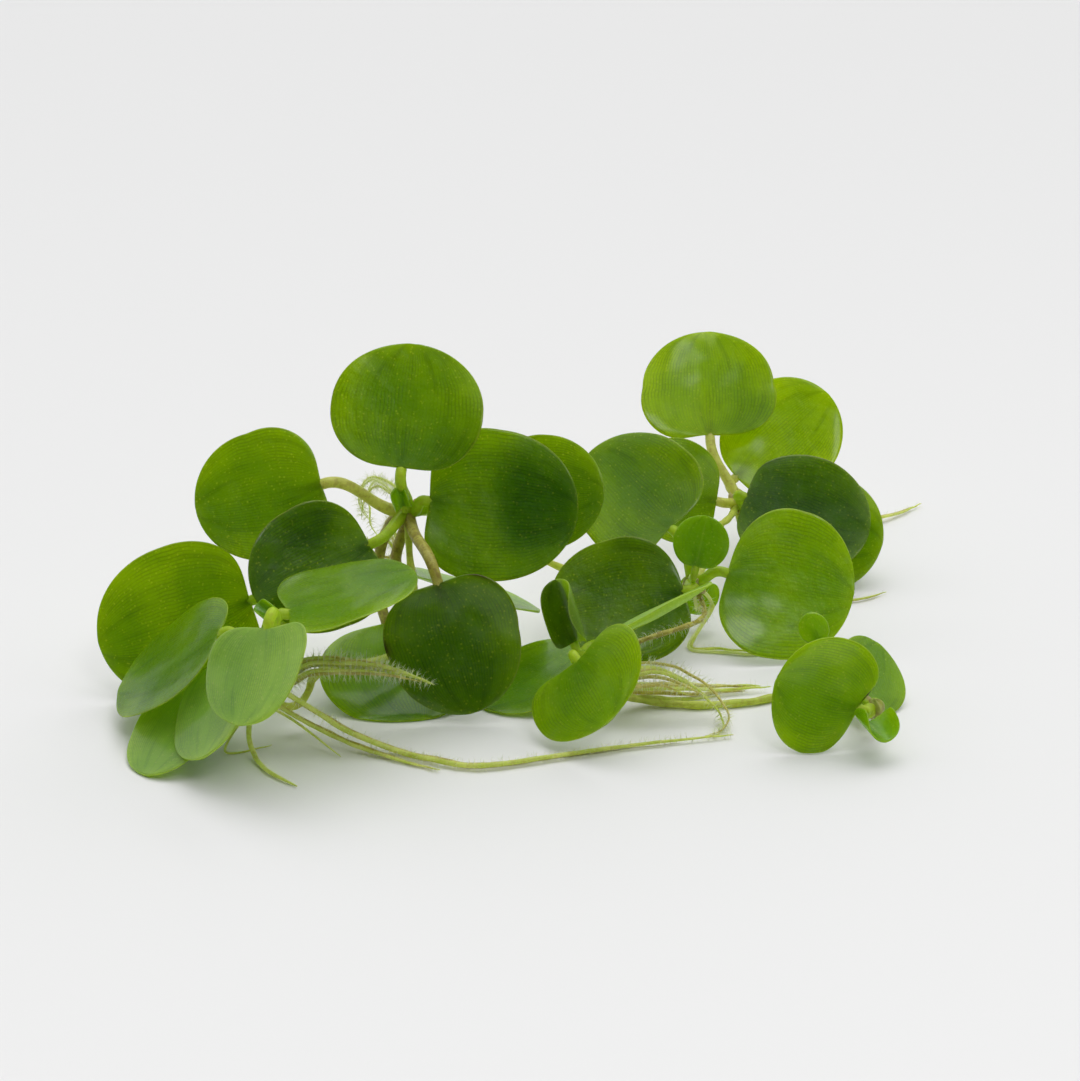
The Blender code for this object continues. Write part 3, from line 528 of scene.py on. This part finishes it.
ROOTS = {
    "a1": ("a", 9, 0.34, (1.1, 1.0, 0.08), [(-39.3, -38.2, 9.1), (-35.7, -37.7, 11.1), (-30.6, -37.7, 11.1),
           (-25.6, -37.2, 10.4), (-21.3, -36.7, 9.1), (-17.9, -36.2, 7.4)], 2600, 1.3),
    "a2": ("a", 2, 0.42, (0.5, 0.6, 0.1), [(-39.1, -42.2, 9.0), (-34.0, -42.1, 5.5), (-29.7, -43.2, 3.2),
           (-23.2, -44.6, 1.0), (-18.1, -46.5, 0.5), (-10.9, -48.8, 0.5), (0.5, -45.5, 0.5), (12.1, -41.9, 0.5),
           (25.8, -38.6, 0.5)], 1100, 0.9),
    "a3": ("a", 2, 0.3, (0.3, 0.4, 0.1), [(-40.4, -42.7, 7.5), (-35.5, -42.2, 4.0), (-29.7, -43.3, 1.5),
           (-22.4, -46.6, 0.4), (-16.5, -49.8, 0.4)], 300, 0.9),
    "a4": ("a", 1, 0.25, (0, 0, 0), [(-41.1, -44.7, 8.3), (-36.9, -42.6, 4.0), (-30.9, -45.4, 0.3)], 60, 0.6),
    "a5": ("a", 1, 0.42, (0, 0, 0), [(-43.2, -44.7, 7.0), (-44.1, -44.9, 4.0), (-43.2, -46.2, 1.0),
           (-40.8, -50.3, 0.5), (-36.3, -54.8, 0.4)], 60, 0.4),
    "a6": ("a", 1, 0.22, (0, 0, 0), [(-45.1, -41.2, 4.8), (-47.7, -44.1, 0.6), (-44.2, -43.2, 0.3),
           (-41.3, -41.2, 0.3)], 40, 0.4),
    "b1": ("b", 4, 0.22, (0.6, 0.8, 0.6), [(-24.8, -6.2, 26.8), (-28.3, -2.2, 27.2), (-30.2, -1.2, 24.2),
           (-29.7, -1.2, 20.0), (-26.9, -3.2, 16.8)], 1500, 1.1),
    "b2": ("b", 3, 0.3, (0.4, 0.7, 0.5), [(-25.9, -7.7, 22.0), (-25.1, -4.2, 16.7), (-26.3, -6.2, 15.5),
           (-28.5, -6.2, 16.8), (-29.6, -5.2, 19.1)], 900, 1.1),
    "c1": ("c", 3, 0.3, (0.3, 0.5, 0.3), [(22.7, -2.2, 7.1), (22.7, -3.7, 5.6)], 160, 0.9),
    "c2": ("c", 2, 0.3, (0.2, 0.35, 0.1), [(25.4, 0.8, 4.8), (21.6, -5.6, 0.5), (26.2, -7.2, 0.5),
           (32.5, -8.0, 0.5), (39.4, -2.9, 0.4)], 200, 0.7),
    "d1": ("d", 2, 0.26, (0.5, 0.9, 0.1), [(10.1, -30.2, 7.3), (14.8, -27.7, 6.7), (20.0, -29.2, 5.3),
           (23.5, -32.2, 3.2), (25.0, -34.9, 1.2), (23.8, -38.0, 0.7), (21.7, -38.6, 0.5)], 1100, 1.2),
    "d2": ("d", 6, 0.34, (0.5, 1.3, 0.2), [(9.7, -33.7, 7.1), (15.3, -33.2, 7.1), (22.0, -34.2, 4.6)], 900, 1.1),
    "d3": ("d", 5, 0.38, (0.4, 1.1, 0.4), [(9.9, -29.2, 3.6), (15.7, -26.7, 2.2), (25.0, -23.4, 0.5),
           (32.8, -21.9, 0.5)], 400, 0.9),
    "e2": ("e", 2, 0.3, (0.2, 0.3, 0.1), [(32.6, 25.8, 7.8), (39.6, 14.0, 0.5), (50.0, 14.0, 0.5),
           (56.3, 17.9, 0.4)], 150, 0.6),
    "e1": ("e", 2, 0.42, (0.3, 0.4, 0.1), [(33.4, 34.8, 8.7), (44.2, 42.8, 4.5), (60.8, 53.6, 1.2),
           (69.1, 62.4, 0.6)], 250, 0.8),
}
HAIR_RADIUS = 0.022


def grow_hairs(name, strands, count, span, seed, droop):
    """Grows fine bent hairs from points picked at random on the strands."""
    chance = random.Random(seed)
    fuzz = bpy.data.curves.new(name, "CURVE")
    fuzz.dimensions = "3D"
    fuzz.bevel_depth = MM
    fuzz.bevel_resolution = 0
    fuzz.use_fill_caps = True
    for _ in range(count):
        points, radii = chance.choice(strands)
        k = chance.randrange(2, len(points) - 1)
        along = (points[k + 1] - points[k - 1]).normalized()
        out = Vector((chance.gauss(0, 1), chance.gauss(0, 1), chance.gauss(0, 1)))
        out = (out - along * out.dot(along)).normalized()
        start = points[k] + out * radii[k] * 0.8
        length = span * chance.uniform(0.45, 1.25)
        lean = along * chance.uniform(-0.3, 0.8) + Vector((0, 0, -droop))
        middle = start + (out + lean * 0.3).normalized() * length * 0.5
        end = middle + (out + lean).normalized() * length * 0.5
        hair = fuzz.splines.new("POLY")
        hair.points.add(2)
        for knot, spot, thick in zip(hair.points, (start, middle, end), (1.0, 0.8, 0.35)):
            knot.co = (spot.x * MM, spot.y * MM, max(spot.z, 0.05) * MM, 1.0)
            knot.radius = HAIR_RADIUS * thick
    hairs = bpy.data.objects.new(name, fuzz)
    bpy.context.scene.collection.objects.link(hairs)
    bpy.ops.object.select_all(action="DESELECT")
    hairs.select_set(True)
    bpy.context.view_layer.objects.active = hairs
    bpy.ops.object.convert(target="MESH")
    hairs = bpy.context.object
    hairs.data.materials.append(HAIR_SKIN)
    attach(hairs, "root")


for key, (crown, count, radius, stray, bends, hair_count, hair_length) in ROOTS.items():
    route = follow([Vector(CROWN_HEARTS[crown]), *[Vector(bend) for bend in bends]], 0.7)
    last = len(route) - 1
    chance = random.Random(key)
    strands = []
    for number in range(count):
        turn = math.tau * number / count + chance.uniform(-0.4, 0.4)
        twist = chance.uniform(-1.5, 1.5)
        end = last if number == 0 else round(last * chance.uniform(0.72, 0.98))
        points = []
        radii = []
        for k in range(end + 1):
            t = k / last
            bulge = stray[1] - (stray[0] + stray[2]) / 2
            away = stray[0] * (1 - t) + stray[2] * t + 4 * bulge * t * (1 - t)
            away *= min(1.0, k / 3)
            forward = (route[min(k + 1, last)] - route[max(k - 1, 0)]).normalized()
            sideways = forward.cross(Vector((0, 0.3, 1))).normalized()
            upward = sideways.cross(forward)
            angle = turn + twist * t
            wave = Vector((noise.noise(Vector((k * 0.3, number * 7.7, 1.5))), 0, 0)).x * 0.25
            points.append(route[k] + (sideways * math.cos(angle) + upward * math.sin(angle)) * (away + wave))
            radii.append(radius * (1 - 0.1 * chance.random()) * (1 - 0.8 * (k / end) ** 4))
        strands.append((points, radii))
    tissues = [ROOT_WHITE, ROOT_SKIN] if key in ("b1", "c1", "c2") else [ROOT_SKIN, ROOT_TAN]
    root = draw_strands(f"thread_{key}", strands, tissues, 2)
    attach(root, "root")
    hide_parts(f"root_{key}")
    grow_hairs(f"hairs_{key}", strands, hair_count, hair_length, key, 0.15)
grow_hairs("hairs_cd", [runner_routes["cd"]], 260, 1.2, "cd", 0.8)


# The table: a plain pale matt sheet that runs back out of sight.
bpy.ops.object.select_all(action="DESELECT")
bpy.ops.mesh.primitive_plane_add(size=8.0)
table = bpy.context.object
table.name = "table_sheet"
pale_sheet = bpy.data.materials.new("pale_sheet")
pale_sheet.use_nodes = True
pale_sheet.node_tree.nodes["Principled BSDF"].inputs["Base Color"].default_value = (0.76, 0.76, 0.76, 1)
pale_sheet.node_tree.nodes["Principled BSDF"].inputs["Roughness"].default_value = 0.9
pale_sheet.node_tree.nodes["Principled BSDF"].inputs["Specular IOR Level"].default_value = 0.1
table.data.materials.append(pale_sheet)


# Studio light: a white room that is bright behind and above the plants and dark in front of them,
# so the leaves glow from behind, and one soft box in front above them for the gloss.
room = bpy.data.worlds.new("white_room")
room.use_nodes = True
sky = room.node_tree
way = add_node(sky, "SeparateXYZ", {0: add_node(sky, "TexCoord").outputs["Generated"]})
height = reckon(sky, "MULTIPLY_ADD", way.outputs[2], 0.9, way.outputs[1])
strength = ramp(sky, height, 0.05, 0.45, 0.02, 0.92)
sky.links.new(strength, sky.nodes["Background"].inputs["Strength"])
sky.nodes["Background"].inputs["Color"].default_value = (1, 1, 1, 1)
bpy.context.scene.world = room
box = bpy.data.lights.new("soft_box", "AREA")
box.shape = "RECTANGLE"
box.size = 0.2
box.size_y = 0.16
box.energy = 0.85
box_lamp = bpy.data.objects.new("soft_box", box)
box_lamp.location = (0.22, -0.55, 0.62)
box_lamp.rotation_euler = Vector((0.22, -0.55, 0.62)).to_track_quat("Z", "Y").to_euler()
bpy.context.scene.collection.objects.link(box_lamp)
ceiling = bpy.data.lights.new("ceiling_light", "SUN")
ceiling.energy = 1.25
ceiling.angle = math.radians(55)
ceiling_lamp = bpy.data.objects.new("ceiling_light", ceiling)
ceiling_lamp.rotation_euler = Vector((0.12, 0.35, 0.93)).to_track_quat("Z", "Y").to_euler()
bpy.context.scene.collection.objects.link(ceiling_lamp)


# The camera stands in front and looks down at the colony at the photograph's angle.
camera = bpy.data.cameras.new("front_view")
camera.lens = 75.06
camera.sensor_width = 36.0
camera.sensor_fit = "HORIZONTAL"
camera.clip_start = 0.01
camera.clip_end = 20.0
viewer = bpy.data.objects.new("front_view", camera)
viewer.location = (-0.0024, -0.3367, 0.1423)
viewer.rotation_euler = (math.radians(69.5), 0, 0)
bpy.context.scene.collection.objects.link(viewer)
bpy.context.scene.camera = viewer
bpy.context.scene.view_settings.view_transform = "Standard"
